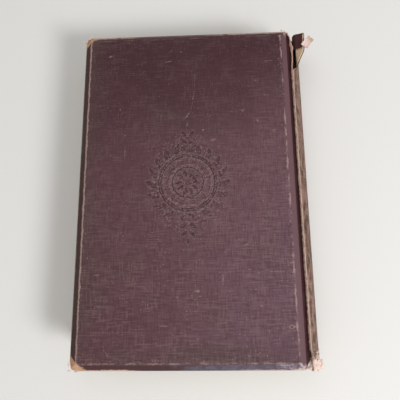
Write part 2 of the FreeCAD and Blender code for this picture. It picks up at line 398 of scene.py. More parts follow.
def pick(kind, test):
    """Selects only the corners (VERT) or faces (FACE) that pass a test on their place and normal."""
    bpy.ops.mesh.select_mode(type=kind)
    bpy.ops.mesh.select_all(action="DESELECT")
    shape = bmesh.from_edit_mesh(bpy.context.object.data)
    for item in shape.verts if kind == "VERT" else shape.faces:
        place = item.co if kind == "VERT" else item.calc_center_median()
        if test(place, item.normal):
            item.select_set(True)
    bmesh.update_edit_mesh(bpy.context.object.data)


def modify(piece, kind, **settings):
    """Adds a modifier and applies it."""
    bpy.context.view_layer.objects.active = piece
    modifier = piece.modifiers.new(kind.title(), kind)
    for key, value in settings.items():
        setattr(modifier, key, value)
    bpy.ops.object.modifier_apply(modifier=modifier.name)


def rest(piece, angle=35):
    """Closes the shaping and rounds the shading of all but the sharp edges."""
    if bpy.context.mode != "OBJECT":
        bpy.ops.object.mode_set(mode="OBJECT")
    bpy.ops.object.select_all(action="DESELECT")
    piece.select_set(True)
    bpy.context.view_layer.objects.active = piece
    bpy.ops.object.shade_smooth_by_angle(angle=math.radians(angle))
    print(piece.name, len(piece.data.polygons), "faces")
    return piece


def reshape(piece, rule):
    """Moves each corner of a mesh to where a rule puts it."""
    for corner in piece.data.vertices:
        corner.co = rule(corner.co)
    piece.data.update()


def ripple(x, y, z, size):
    """A steady random number from -1 to 1 that changes over about size metres."""
    return noise.noise(Vector((x, y, z)) / size)


def turned_over():
    """Mirrors the piece that is open from the back cover to the front one, its faces still outwards."""
    bpy.ops.mesh.select_all(action="SELECT")
    bpy.ops.transform.resize(value=(1, 1, -1), center_override=(0, 0, mid_height))
    bpy.ops.mesh.normals_make_consistent(inside=False)


print("helpers ready")

# %% [markdown]
# ## The stamped ornament
# The middle of the back cover was pressed with a hot brass die: a rosette, a ring of beads and a wreath,
# all sunk a quarter of a millimetre, with hairlines and fine rays between. A height rule says how deep
# each place is pressed. The panel of the cover where the die fell gets small cells, and the rule becomes
# the weight of a Displace modifier. Bump alone would leave the mesh flat.

# %% Ornament
stamp_depth = 0.25 * mm
stamp_line = 0.55
stamp_x = 1.2
stamp_y = 2.8
hub_radius = 1.6
wheel_radius = 8.9
petal_count = 10
petal_length = 4.8
petal_width = 2.0
bead_ring_radius = 12.1
bead_radius = 1.1
bead_count = 12
frame_radius = 15.4
frame_gap = 1.3
leaf_gap = 1.1
leaf_count = 8
leaf_span = 66.0
leaf_length = 7.6
leaf_width = 2.7
leaf_lean = 42.0
bud_length = 3.8
bud_width = 1.6
bud_lean = -36.0
sprig_leaf_length = 6.4
sprig_leaf_width = 2.4
sprig_spread = 46.0
sprig_pairs = 3
sprig_step = 4.9
sprig_taper = 0.14
frame_outer = frame_radius + frame_gap + stamp_line / 2 + leaf_gap
soft_edge = 0.3
hairline = 0.3
hairline_gap = 1.15
fine_rays = [(20, 4.2, 8.4), (40, 17.5, 20.5), (60, 15.6, 16.4)]


def on_circle(radius, degrees):
    angle = math.radians(degrees)
    return radius * math.cos(angle), radius * math.sin(angle)


print("ornament sizes ready")

# %% Leaves of the wreath
def half_wreath():
    """Leaves, buds and sprigs of the right half: root, direction in degrees, length and width, in mm."""
    leaves = []
    pitch = 2 * leaf_span / (leaf_count - 1)
    for i in range(leaf_count):
        angle = pitch * i - leaf_span
        leaves.append((*on_circle(frame_outer, angle), angle + leaf_lean, leaf_length, leaf_width))
        angle += pitch / 2
        leaves.append((*on_circle(frame_outer, angle), angle + bud_lean, bud_length, bud_width))
    for up_down in (1, -1):
        for i in range(sprig_pairs):
            size = 1 - sprig_taper * i
            root_y = up_down * (frame_outer + sprig_step * i)
            turn = up_down * (90 - sprig_spread)
            leaves.append((stamp_line, root_y, turn, sprig_leaf_length * size, sprig_leaf_width * size))
    return leaves


def all_leaves():
    """Every leaf and petal of the ornament."""
    leaves = []
    for x, y, turn, length, width in half_wreath():
        leaves.append((x, y, turn, length, width))
        leaves.append((-x, y, 180 - turn, length, width))
    tip = frame_outer + sprig_step * sprig_pairs - stamp_line
    for up_down in (1, -1):
        leaves.append((0, up_down * tip, up_down * 90, sprig_leaf_length / 2, sprig_leaf_width / 2))
    petal_start = (hub_radius + wheel_radius - petal_length) / 2
    for i in range(petal_count):
        turn = 360 * i / petal_count
        leaves.append((*on_circle(petal_start, turn), turn, petal_length, petal_width))
    return leaves


print("leaf rules ready")

# %% How deep the die presses
def inside(distance):
    """1 well inside an outline, 0 outside it, with a soft pressed edge between."""
    return min(1, max(0, 0.5 - distance / (2 * soft_edge)))


def pressed_leaf(x, y, leaf):
    """How far a place is pressed by one leaf: two arcs that meet at both ends, with a raised midrib."""
    root_x, root_y, turn, length, width = leaf
    c, s = on_circle(1, -turn)
    along = (x - root_x) * c - (y - root_y) * s
    across = (x - root_x) * s + (y - root_y) * c
    if not -soft_edge < along < length + soft_edge or abs(across) > width:
        return 0
    half = width / 2 * max(0, 1 - (2 * along / length - 1) ** 2)
    rib = math.exp(-((across / 0.22) ** 2)) * 0.55 if width > 1.7 else 0
    return inside(abs(across) - half) * (1 - rib)


def pressed(x, y, leaves):
    """How far the die presses a place, from 0 to 1. x and y are in mm from the middle of the ornament."""
    away = math.hypot(x, y)
    depth = inside(away - hub_radius)
    for ring in (wheel_radius, frame_radius, frame_radius + frame_gap):
        depth = max(depth, inside(abs(away - ring) - stamp_line / 2))
    for ring in (wheel_radius + hairline_gap, frame_radius - hairline_gap):
        depth = max(depth, 0.6 * inside(abs(away - ring) - hairline / 2))
    for count, low, high in fine_rays:
        pitch = 2 * math.pi / count
        turn = math.atan2(y, x) % pitch
        if low < away < high:
            depth = max(depth, 0.7 * inside(away * min(turn, pitch - turn) - hairline / 2))
    step = 360 / bead_count
    turn = (math.degrees(math.atan2(y, x)) - step / 2) % step
    turn = min(turn, step - turn)
    bead_x, bead_y = on_circle(away, turn)
    depth = max(depth, inside(math.hypot(bead_x - bead_ring_radius, bead_y) - bead_radius))
    return max([depth] + [pressed_leaf(x, y, leaf) for leaf in leaves])


wreath = all_leaves()
print(len(wreath), "leaves and petals,", bead_count, "beads")

# %% [markdown]
# ## The cloth of a cover
# One sheet of cloth is glued over the board, down its bevelled edges and in over its inside. It could be
# carved from a cube, but the stamped panel needs cells far smaller than the rest. So the sheet starts as
# a fine grid under the die, and its rim is extruded outwards ring by ring: across the field, over the
# rubbed ridge, down the bevel, down the side and in under the board. The rings stay close together where
# the cloth is worn.

# %% Cover sheet
panel_half_x = 25.6 * mm
panel_half_y = 37.2 * mm
field_rings = 7
corner_zone = 9 * mm
bevel_profile = [
    (-1.4, 0), (-0.5, 0.02), (0.05, 0.12), (0.6, 0.45), (1.3, 0.85), (2.0, 1.28), (2.7, 1.7), (3.25, 2.05),
]


def rim_to(old, new):
    """Extrudes the selected rim to the next rectangle: its middle x and y, half x and y, and height."""
    bpy.ops.mesh.extrude_region_move()
    stretch = (new[2] / old[2], new[3] / old[3], 1)
    bpy.ops.transform.resize(value=stretch, center_override=(old[0], old[1], old[4]))
    bpy.ops.transform.translate(value=(new[0] - old[0], new[1] - old[1], new[4] - old[4]))


print("rim helper ready")

# %% Rings of the cover sheet
def cover_rings(panel):
    """The rectangles from the panel's rim outwards, over the edge and in under the board."""
    rings = []
    for i in range(1, field_rings + 1):
        share = (i / field_rings) ** 0.7
        sides = [start + (end - start) * share for start, end in zip(panel, (0, 0, ridge_x, ridge_y))]
        rings.append((*sides, book_thick))
    rings[-1] = (0, 0, ridge_x - 3 * mm, ridge_y - 3 * mm, book_thick)
    for out, drop in bevel_profile:
        rings.append((0, 0, ridge_x + out * mm, ridge_y + out * mm, book_thick - drop * mm))
    rings.append((0, 0, cover_edge, cover_end, bevel_foot - 0.25 * mm))
    rings.append((0, 0, cover_edge, cover_end, (bevel_foot + cloth_low.z) / 2))
    rings.append((0, 0, cover_edge, cover_end, cloth_low.z + 0.15 * mm))
    for inwards in (0.15, 1.2, 3, 6, 10, 15):
        rings.append((0, 0, cover_edge - inwards * mm, cover_end - inwards * mm, cloth_low.z))
    return rings


print("cover rings ready")

# %% Worn corners and the whole sheet
def worn_through(place, corners):
    """Whether the cloth is gone at a place: a ragged patch at each rubbed corner."""
    for side_x, side_y, reach in corners:
        from_x = cover_edge - side_x * place.x
        from_y = cover_end - side_y * place.y
        ragged = 1 + 0.45 * ripple(place.x, place.y, place.z, 1.6 * mm)
        ragged += 0.3 * ripple(place.y, place.x, place.z, 0.6 * mm)
        if max(from_x, 0) + max(from_y, 0) < reach * mm * ragged:
            return True
    return False


def cover_sheet(name, cell, corners, stamped):
    """The cloth of the upper cover, outer face first and then given its thickness inwards."""
    panel = (stamp_x * mm, stamp_y * mm, panel_half_x, panel_half_y)
    piece = begin(
        name, bpy.ops.mesh.primitive_grid_add, x_subdivisions=round(2 * panel_half_x / cell),
        y_subdivisions=round(2 * panel_half_y / cell), size=2, location=(panel[0], panel[1], book_thick),
        stretch=(panel_half_x, panel_half_y, 1),
    )
    bpy.ops.mesh.select_all(action="SELECT")
    bpy.ops.mesh.region_to_loop()
    old = (*panel, book_thick)
    for new in cover_rings(panel):
        rim_to(old, new)
        old = new
    pick("FACE", lambda place, normal: any(
        cover_edge - side_x * place.x < corner_zone and cover_end - side_y * place.y < corner_zone
        for side_x, side_y, reach in corners))
    bpy.ops.mesh.subdivide(number_cuts=2)
    pick("FACE", lambda place, normal: worn_through(place, corners))
    bpy.ops.mesh.delete(type="FACE")
    bpy.ops.mesh.select_all(action="SELECT")
    bpy.ops.mesh.normals_make_consistent(inside=False)
    bpy.ops.object.mode_set(mode="OBJECT")
    if stamped:
        press_ornament(piece)
    modify(piece, "SOLIDIFY", thickness=cloth_thick, offset=-1, use_even_offset=True)
    bpy.ops.object.mode_set(mode="EDIT")
    skin = book_thick - cloth_thick

    def inner_face(place, normal):
        return abs(place.z - skin) < 1.5 * stamp_depth and abs(place.x) < ridge_x - 2 * mm and normal.z < 0

    pick("VERT", inner_face)
    bpy.ops.transform.resize(value=(1, 1, 0), center_override=(0, 0, skin))
    bpy.ops.mesh.dissolve_limited(angle_limit=math.radians(1))
    return piece


def press_ornament(piece):
    """Sinks the ornament into the panel and keeps its depth as an attribute for the finish."""
    group = piece.vertex_groups.new(name="die")
    top = book_thick - 0.1 * mm
    depths = [0.0] * len(piece.data.vertices)
    for corner in piece.data.vertices:
        x = corner.co.x / mm - stamp_x
        y = corner.co.y / mm - stamp_y
        if corner.co.z > top and abs(x) < panel_half_x / mm and abs(y) < panel_half_y / mm:
            depths[corner.index] = pressed(x, y, wreath)
    for index, depth in enumerate(depths):
        if depth:
            group.add([index], depth, "REPLACE")
    mark = piece.data.attributes.new("pressed", "FLOAT", "POINT")
    mark.data.foreach_set("value", depths)
    modify(piece, "DISPLACE", direction="Z", mid_level=0, strength=-stamp_depth, vertex_group="die")


back_sheet = cover_sheet(
    "back_cover_sheet", 0.39 * mm, [(-1, 1, 4.8), (-1, -1, 4.6), (1, 1, 1.7), (1, -1, 1.9)], stamped=True)
rest(back_sheet, 40)
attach(back_sheet, "back_cover")
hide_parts("back_cover_cloth")

front_sheet = cover_sheet("front_cover_sheet", 2.0 * mm, [(-1, 1, 3.4), (-1, -1, 3.4)], stamped=False)
turned_over()
rest(front_sheet, 40)
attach(front_sheet, "front_cover")
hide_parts("front_cover_cloth")

# %% [markdown]
# ## The finish of the covers
# The field of the cover is darkest at the head and lightest at the lower right: partly faded dye and
# partly painted light falling from the lower right. Wear follows the form: a pale line along the ridge of
# the bevel, unbroken at the fore-edge where hands held it and broken into flecks elsewhere. The left bevel
# has dirt and painted shade, and the tail bevel a painted bluish reflection of the sky. All of it is
# measured from the outline of the cover, so that it follows the edges without painting by hand. The few
# scratches and flecks that catch the eye are in a short list.

# %% Cover finish
bevel_grime_and_shade = (0.06, 0.037, 0.029)
bevel_maroon = (0.062, 0.026, 0.03)
bevel_head = (0.098, 0.046, 0.05)
bevel_right = (0.132, 0.07, 0.082)
bevel_sky_sheen = (0.118, 0.1, 0.138)
edge_worn = (0.36, 0.245, 0.22)
edge_cream = (0.62, 0.43, 0.36)
corner_tan = (0.5, 0.29, 0.16)
rubbed_white = (0.55, 0.44, 0.46)
lip_tone = (0.4, 0.25, 0.23)
marks = [
    (5.8, 67, 7.5, 0.16, 88), (4.4, 53.5, 7, 0.2, 81), (1, 43.5, 4, 0.4, 52), (-2.6, 85.7, 0.8, 0.5, 0),
    (-10.2, 79.3, 2.4, 0.3, 12), (-39.1, 48.4, 0.5, 1.4, 0), (-24.7, 26.8, 2.4, 0.35, 4),
    (-35.5, 21.2, 0.3, 4, 0), (42.4, 64.9, 1.1, 0.6, -30), (50.4, 77.7, 3.2, 0.35, 2),
    (47.6, 55.4, 2.6, 0.3, -4), (34, 45.9, 1.3, 0.8, 50), (42.3, 39.4, 1, 0.6, -50),
    (51.6, 32.9, 1.4, 0.9, 25), (-4.8, -61.3, 1, 0.7, 0), (5.8, -58.1, 2.2, 0.9, 10),
    (-49.6, -48.8, 2.2, 0.3, 0), (-42.4, -89.8, 1.8, 0.35, 120), (33.6, -33.3, 2.4, 0.4, 30),
    (34.7, -46.9, 1.5, 0.4, 0), (49.3, -48.1, 6, 0.25, 0), (40, -65.9, 1.4, 0.4, -35),
    (10.4, 34.2, 1, 0.7, 20), (16.1, 27.9, 2, 0.8, 20), (1, 37.6, 0.7, 1.2, 0), (20, -52, 0.5, 3, 0),
    (-12, -76, 3, 0.4, 0), (-46, 84, 1.2, 0.8, 30),
]
ring_stain = (55.6, -76.9, 1.3, 1.1, 20)


def ellipse(finish, x, y, half_long, half_short, turn):
    """Under 1 inside an ellipse on the cover and over 1 outside it."""
    c, s = on_circle(1, turn)
    along = ((finish.x - x) * c + (finish.y - y) * s) / half_long
    across = ((finish.y - y) * c - (finish.x - x) * s) / half_short
    return along * along + across * across


print("marks ready")

# %% Colour of the field
def cover_field(finish):
    """Dark at the head, brown at the lower left, lighter at the right: partly faded dye, partly painted
    light.
    """
    x, y = finish.x, finish.y
    drift = finish.noise(36, detail=3) - 0.5
    # partly painted light and partly faded dye: the cloth gets lighter towards the right and lower right
    body = finish.mix(cloth_left, cloth_right, (x + drift * 70).step(-70, 55))
    body = finish.mix(body, cloth_purple, (x - y * 0.6 + drift * 120).step(25, 120) * 0.55)
    tone = finish.mix(cloth_head, body, (y + drift * 60 - x * 0.15).step(92, -8))
    rim = (cover_edge / mm + x).least(cover_end / mm + y)
    return finish.mix(tone, cloth_brown, (rim - drift * 30).step(16, 2) * 0.5)


def bevel_dirt_shade_and_sheen(finish, tone, outward, sides):
    """The four bevels: dirt and painted shade on the left one, a painted bluish sky reflection at the tail.
    """
    left, right, head, tail = sides
    on_bevel = outward.step(0.1, 0.6)
    streaks = finish.noise(3.5, (1, 3, 1), detail=3).step(0.4, 0.62)
    grime_and_shade = finish.mix(bevel_grime_and_shade, bevel_maroon, streaks * 0.7)
    # dirt and painted shade on the left bevel, which faces away from the light
    tone = finish.mix(tone, grime_and_shade, on_bevel * left * 0.92)
    tone = finish.mix(tone, bevel_right, on_bevel * right * 0.85)
    tone = finish.mix(tone, bevel_head, on_bevel * head * 0.9)
    tone = finish.mix(tone, bevel_maroon, on_bevel * tail * 0.85)
    patchy = finish.noise(4, detail=4, rough=0.6)
    # painted reflection: a bluish sheen of sky light on the right part of the tail bevel
    sky_sheen = (finish.x + (patchy - 0.5) * 40).step(-14, 18) * (0.55 + patchy.step(0.4, 0.6) * 0.45)
    return finish.mix(tone, bevel_sky_sheen, on_bevel * tail * sky_sheen)


print("bevels ready")

# %% Wear of the edges
def worn_edges(finish, tone, outward, sides):
    """Pale wear along the bevels and at the corners. Returns (colour, mask of the wear)."""
    left, right, head, tail = sides
    x, y = finish.x, finish.y
    torn = finish.noise(1.5, detail=4, rough=0.7)
    held = left * (y.step(-99, -60) * 0.2 + 0.8)
    steady = rubbed_line(finish, outward + 0.35, 0.62, 0.3) * held
    broken = rubbed_line(finish, outward + 0.4, 0.6, 0.5) * (right * 0.85 + tail * 0.6 + head * 0.25)
    tone = finish.mix(tone, edge_worn, steady.most(broken) * 0.9)
    glints = finish.noise(0.9, detail=2).step(0.56, 0.7) * finish.noise(8).step(0.42, 0.6)
    bright = steady.most(broken) * glints
    near = (abs(outward + 1.5) / 2.6).step(1, 0.2) * (right + tail * 0.7 + left * 0.3).least(1)
    sprinkle = finish.noise(0.8, detail=3).step(0.58, 0.7) * near * finish.noise(6, detail=2).step(0.42, 0.58)
    tone = finish.mix(tone, cloth_rubbed, (sprinkle * 0.65).most(bright))
    stretches = tail * (x.step(-22, -34) + x.step(20, 40) * 0.6) + left * 0.35
    foot = rubbed_line(finish, outward - 3.3, 0.55, 0.32) * stretches
    head_ends = head * (abs(x + 8).step(14, 40) * 0.75 + 0.25)
    foot = foot.most(rubbed_line(finish, outward - 2.6, 1.0, 0.34) * head_ends)
    tone = finish.mix(tone, edge_cream, foot.least(1) * 0.85)
    chipped = finish.noise(1.0, (2, 1, 1), detail=5, rough=0.7).step(0.4, 0.66)
    low_right = x.step(46, 50) * outward.step(-1.2, 0.6) * tail
    white = chipped * low_right
    tone = finish.mix(tone, rubbed_white, white * 0.55)
    spine_end = (x * 0.4 - y).step(119.6, 122) * (outward + finish.noise(1.4) * 2).step(2.2, 3.4)
    tone = finish.mix(tone, rubbed_white, spine_end * 0.75)
    on_hip = (abs(x + y - (ridge_x - ridge_y) / mm) + torn * 2.4).step(2.6, 1.4) * (x - y).step(152.5, 154.5)
    tone = finish.mix(tone, rubbed_white, on_hip * 0.7)
    top_end = (x + y).step(155.5, 159) * (outward + finish.noise(1.4) * 2).step(2.0, 3.2)
    tone = finish.mix(tone, lip_tone, top_end * 0.8)
    from_corner = (cover_edge / mm - abs(x)).most(0) * 0.8 + (cover_end / mm - abs(y)).most(0)
    bare = (from_corner + torn * 5).step(11.2, 9.4) * (left + (head + tail) * x.step(-50, -58)).least(1)
    tone = finish.mix(tone, corner_tan, bare)
    tone = finish.mix(tone, edge_cream, bare * finish.noise(0.9, detail=3).step(0.5, 0.65) * 0.7)
    return tone, (steady + broken + foot + bare + white + spine_end).least(1)


print("edge wear ready")

# %% Tones of the stamp
def stamped_tones(finish, tone):
    """Painted shade on the pressed walls; broken pale lips, part wear and part painted highlight; raised
    specks.
    """
    x, y = finish.x - stamp_x, finish.y - stamp_y
    sunk = finish.node("ShaderNodeAttribute", {"attribute_name": "pressed"}, out="Fac")
    uneven = finish.noise(4, detail=3).step(0.3, 0.6) * 0.5 + 0.5
    broken = finish.noise(1.2, detail=4, rough=0.65).step(0.36, 0.62)
    # painted shade on the walls of the pressed lines
    wall_shade = sunk.step(0.08, 0.35) * sunk.step(1.05, 0.75)
    tone = finish.mix(tone, cloth_shadow, wall_shade * uneven * 0.62)
    tone = finish.mix(tone, cloth_shadow, sunk * uneven * 0.2)
    # the pale lips are part wear and part painted highlight along the pressed lines
    lip = sunk.step(0.0, 0.08) * sunk.step(0.4, 0.15)
    tone = finish.mix(tone, cloth_rubbed, lip * broken * 0.45)
    zone = (x * x + y * y * 0.6).step(700, 380)
    raised = (finish.noise(1.25, detail=3) + sunk * 0.04).step(0.52, 0.68) * zone
    return finish.mix(tone, cloth_rubbed, raised * 0.3), zone * finish.noise(1.4, detail=2) * 0.5


def cover_finish(name, scuffed):
    """Book cloth over a board, worn along its outline."""
    finish = Finish(name, roughness=0.6, specular=0.2)
    x, y = finish.x, finish.y
    tone, height = cloth_ground(finish, cover_field(finish))
    outward = (abs(x) - ridge_x / mm).most(abs(y) - ridge_y / mm)
    sides = [(distance - outward).step(-1.2, -0.1) for distance in (
        x * -1 - ridge_x / mm, x - ridge_x / mm, y - ridge_y / mm, y * -1 - ridge_y / mm)]
    tone = bevel_dirt_shade_and_sheen(finish, tone, outward, sides)
    if scuffed:
        fuzz = finish.noise(0.8, detail=4, rough=0.75)
        scraped = finish.noise(1.0, detail=3).step(0.36, 0.54) * 0.55 + 0.1
        for mark in marks:
            spot = (ellipse(finish, *mark) + fuzz * 4.4).step(3.5, 1.6)
            tone = finish.mix(tone, cloth_rubbed, spot * scraped)
        stain = ellipse(finish, *ring_stain)
        ring = (stain + fuzz * 0.5).step(1.5, 1.2) * stain.step(0.3, 0.6)
        tone = finish.mix(tone, cloth_rubbed, ring * 0.5)
        tone, dents = stamped_tones(finish, tone)
        height = height + dents
    tone, wear = worn_edges(finish, tone, outward, sides)
    finish.colour(tone)
    finish.rough(0.52 + height * 0.2 + wear * 0.2)
    finish.bump(height + wear * finish.noise(0.6, detail=3), 0.13)
    return finish


back_cloth_finish = cover_finish("back_cover_cloth_finish", scuffed=True)
front_cloth_finish = cover_finish("front_cover_cloth_finish", scuffed=False)
paint(back_sheet, back_cloth_finish)
paint(front_sheet, front_cloth_finish)
print("covers painted with", len(marks), "marks")

# %% [markdown]
# ## The boards
# Under the cloth are two sheets of tan pasteboard, bevelled towards their edges. They show only where a
# corner is rubbed through, so their corners are rounded off and fuzzy. A cube is inset on its upper face
# to make the bevel, its corners are bevelled round, and a little noise roughens what the wear laid bare.

# %% Boards
board_tan = (0.4, 0.25, 0.16)
board_pale = (0.62, 0.45, 0.32)


def worn_board(name, corner_round):
    """A bevelled pasteboard with rounded corners."""
    size = board_high - board_low
    low_part = size.z - bevel_depth
    piece = begin(
        name, bpy.ops.mesh.primitive_cube_add, size=1,
        location=(0, 0, board_low.z + low_part / 2), stretch=(size.x, size.y, low_part),
    )
    pick("FACE", lambda place, normal: normal.z > 0.5)
    bpy.ops.mesh.inset(thickness=bevel_width, depth=bevel_depth)
    bpy.ops.object.mode_set(mode="OBJECT")
    bpy.ops.object.mode_set(mode="EDIT")
    bpy.ops.mesh.select_mode(type="EDGE")
    bpy.ops.mesh.select_all(action="DESELECT")
    shape = bmesh.from_edit_mesh(piece.data)
    for edge in shape.edges:
        first, second = (corner.co for corner in edge.verts)
        if abs(first.x - second.x) < size.x / 2 and abs(first.y - second.y) < size.y / 2:
            edge.select_set(True)
    bmesh.update_edit_mesh(piece.data)
    bpy.ops.mesh.bevel(offset=corner_round, segments=6, affect="EDGES")
    return piece


def pasteboard_finish():
    finish = Finish("pasteboard", roughness=0.9, specular=0.15)
    layers = finish.noise(0.5, (20, 20, 1), detail=3)
    fibres = finish.noise(0.7, detail=4, rough=0.7)
    tone = finish.mix(board_tan, board_pale, layers.step(0.35, 0.7))
    tone = finish.mix(tone, cloth_brown, fibres.step(0.6, 0.75) * 0.5)
    finish.colour(tone)
    finish.bump(fibres + layers, 0.15)
    return finish


board_finish = pasteboard_finish()
for side, body in (("back", "back_cover"), ("front", "front_cover")):
    board = worn_board(side + "_pasteboard", 1.6 * mm)
    if side == "front":
        turned_over()
    rest(board, 30)
    paint(board, board_finish)
    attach(board, body)
    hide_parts(side + "_board")

# %% [markdown]
# ## The spine
# The spine cloth is a strip that is folded in over a paper inlay at head and tail, and rounded over the
# back of the pages. At the head it has torn from its upper joint, and the free part is creased back so
# that its inside faces up. The strip is laid flat as a grid with its ends running on into the turn-ins.
# One rule walks round the spine in small steps and turns a little at each, so the round, the crease and
# the splayed tail all come from how much it turns.

# %% Spine rule
tear_length = 26.5 * mm
crease_x = 69.2 * mm
crease_share = (math.acos((crease_x - spine_centre_x) / spine_radius) / spine_half_angle + 1) / 2
crease_width = 1.3 * mm / spine_length
crease_turn = math.radians(114)
crease_growth = 24 * mm
splay_length = 16 * mm
splay_lean = math.radians(2.5)
spine_head = half_height
spine_tail = half_height + 0.6 * mm
fold_round = 0.75 * mm
fold_depth = 2 * fold_round
spine_turn_in = 9.4 * mm
turn_in_trim = 0.03
stations = 160
crease_z = mid_height + math.sqrt(spine_radius**2 - (crease_x - spine_centre_x) ** 2)


def soft(share):
    """0 to 1 with a gentle start and end, as share goes from 0 to 1."""
    share = min(1, max(0, share))
    return share * share * (3 - 2 * share)


@functools.lru_cache(maxsize=None)
def spine_line(y):
    """The strip at one height: (x, z, way that its outside faces) at even steps from the front joint."""
    up = min(1, max(0, (y - half_height + tear_length) / crease_growth))
    crease = crease_turn * (1 - (1 - up) ** 1.8) * soft(up * crease_growth / (3 * mm))
    splay = max(0, (-half_height + splay_length - y) / splay_length)
    x, z = spine_foot_x, mid_height - spine_half_chord
    line = []
    for i in range(stations + 1):
        faces = []
        for share in (i / stations, (i + 0.5) / stations):
            round_turn = (2 * share - 1) * spine_half_angle
            bent = soft((share - crease_share) / crease_width)
            faces.append(round_turn - splay * splay * splay_lean - crease * bent)
        line.append((x, z, faces[0]))
        x -= math.sin(faces[1]) * spine_length / stations
        z += math.cos(faces[1]) * spine_length / stations
    return line


def on_spine(share, y, depth):
    """A place on the spine: share runs from 0 at the front joint to 1 at the back joint."""
    line = spine_line(round(y, 6))
    spot = min(max(share, 0), 1) * stations
    i = min(int(spot), stations - 1)
    x, z, faces = (start + (end - start) * (spot - i) for start, end in zip(line[i], line[i + 1]))
    return Vector((x - depth * math.cos(faces), y, z - depth * math.sin(faces)))


print("spine rule ready")

# %% Turned-in ends and the free edge
def folded(run):
    """Where a length along the strip comes to lie: (y, depth). Past each end it turns in over the inlay."""
    end = spine_head if run > 0 else spine_tail
    side = 1 if run > 0 else -1
    over = abs(run) - (end - fold_round)
    if over <= 0:
        return run, 0
    turn = over / fold_round
    if turn < math.pi:
        return side * (end - fold_round + fold_round * math.sin(turn)), fold_round * (1 - math.cos(turn))
    return side * (end - fold_round - (over - math.pi * fold_round)), fold_depth


def free_edge(y):
    """The share at which the strip ends: less than 1 where torn cloth stayed on the back joint."""
    up = y - half_height + tear_length
    if up <= 0:
        return 1
    lost = 1.9 * mm * soft(up / (4 * mm)) * (1 - soft((up - 7 * mm) / (7 * mm)))
    frayed = 0.35 * mm * ripple(y, 0, 0, 1.8 * mm) + 0.25 * mm * ripple(y, 1, 0, 0.7 * mm)
    return 1 - (lost + (0.3 * mm + frayed) * soft(up / (3 * mm))) / spine_length


def spine_sheet():
    """The cloth of the spine with both turn-ins, which are kept as an attribute for the finish."""
    reach = math.pi * fold_round + spine_turn_in - fold_round
    length = spine_head + spine_tail + 2 * reach
    middle = (spine_head - spine_tail) / 2
    piece = begin(
        "spine_cloth_strip", bpy.ops.mesh.primitive_grid_add, x_subdivisions=80, y_subdivisions=300, size=1,
        location=(0.5, middle, 0), stretch=(1, length, 1),
    )

    def gone(place, normal):
        y, depth = folded(place.y)
        trim = turn_in_trim + 0.02 * ripple(place.x, y, 0, 2 * mm)
        return depth > fold_round and min(place.x, 1 - place.x) < trim

    pick("FACE", gone)
    bpy.ops.mesh.delete(type="FACE")
    bpy.ops.object.mode_set(mode="OBJECT")
    depths = [folded(corner.co.y)[1] / fold_depth for corner in piece.data.vertices]
    mark = piece.data.attributes.new("turned_in", "FLOAT", "POINT")
    mark.data.foreach_set("value", depths)

    def roll(flat):
        y, depth = folded(flat.y)
        return on_spine(flat.x * free_edge(y), y, depth)

    reshape(piece, roll)
    modify(piece, "SOLIDIFY", thickness=cloth_thick * 0.98, offset=-1)
    return piece


spine = spine_sheet()
print("spine cloth", round(spine_length / mm, 1), "mm round the back")
rest(spine, 40)
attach(spine, "book_body")
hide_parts("spine_cloth")

# %% [markdown]
# ## The inlay
# A strip of tan paper stiffens the spine cloth from inside. At the torn head it is creased back with the
# cloth, and its inner side shows. It is laid flat and rolled by the spine's own rule, a cloth's thickness
# deeper.

# %% Inlay
inlay_gap = 0.13 * mm
inlay_margin = 2.6 * mm
free_margin = 0.3 * mm


def spine_stiffener():
    """The paper strip. Its margin beside the back joint is narrow where the head is torn open."""
    length = spine_head + spine_tail - 2 * cloth_thick - 0.5 * mm
    piece = begin(
        "spine_paper", bpy.ops.mesh.primitive_grid_add, x_subdivisions=70, y_subdivisions=220, size=1,
        location=(0.5, (spine_head - spine_tail) / 2, 0), stretch=(1, length, 1),
    )
    bpy.ops.object.mode_set(mode="OBJECT")

    def roll(flat):
        torn_open = soft((flat.y - half_height + tear_length) / (8 * mm))
        margin = inlay_margin + (free_margin - inlay_margin) * torn_open
        margin += (0.25 * ripple(flat.y, 0, 5, 2.2 * mm) + 0.15 * ripple(flat.y, 3, 5, 0.8 * mm)) * mm
        low = inlay_margin / spine_length
        high = free_edge(flat.y) - margin / spine_length
        return on_spine(low + flat.x * (high - low), flat.y, cloth_thick + inlay_gap)

    reshape(piece, roll)
    modify(piece, "SOLIDIFY", thickness=inlay_thick - 2 * inlay_gap, offset=-1)
    return piece


inlay = spine_stiffener()
rest(inlay, 40)
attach(inlay, "book_body")
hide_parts("spine_inlay")

# %% [markdown]
# ## The joints
# Between board and spine the cloth dips into a groove and rises to a ridge: that is the hinge of the
# cover. The strip bends when a cover opens, so it is a piece of its own. It is laid flat and dropped
# into the groove by a rule.

# %% Joint cloth
groove_ridge_z = mid_height + spine_half_chord
joint_path = [
    (cover_edge - 0.5 * mm, bevel_foot + 0.28 * mm), (cover_edge + 0.02 * mm, bevel_foot - 0.1 * mm),
    (cover_edge + 0.3 * mm, groove_ridge_z - joint_dip * 0.9),
    (cover_edge + 0.85 * mm, groove_ridge_z - joint_dip * 1.4),
    (cover_edge + 1.5 * mm, groove_ridge_z - joint_dip * 1.1),
    (spine_foot_x - 0.25 * mm, groove_ridge_z - 0.12 * mm),
    (spine_foot_x + 0.1 * mm, groove_ridge_z + 0.06 * mm),
    (spine_foot_x + 0.6 * mm, groove_ridge_z - 0.32 * mm),
]
lip_edge = [
    (71.8, 0.4), (76, 0.6), (79.7, 1.0), (84, 1.15), (88.3, 1.6), (91, 0.8), (95.3, 0.15), (97.2, -1.2),
    (98.3, -1.6),
]
lip_pivot = 0.3
lip_thin = 0.55
lip_broad = 1.5
hole_start = -88 * mm
hole_depth = 1.1 * mm


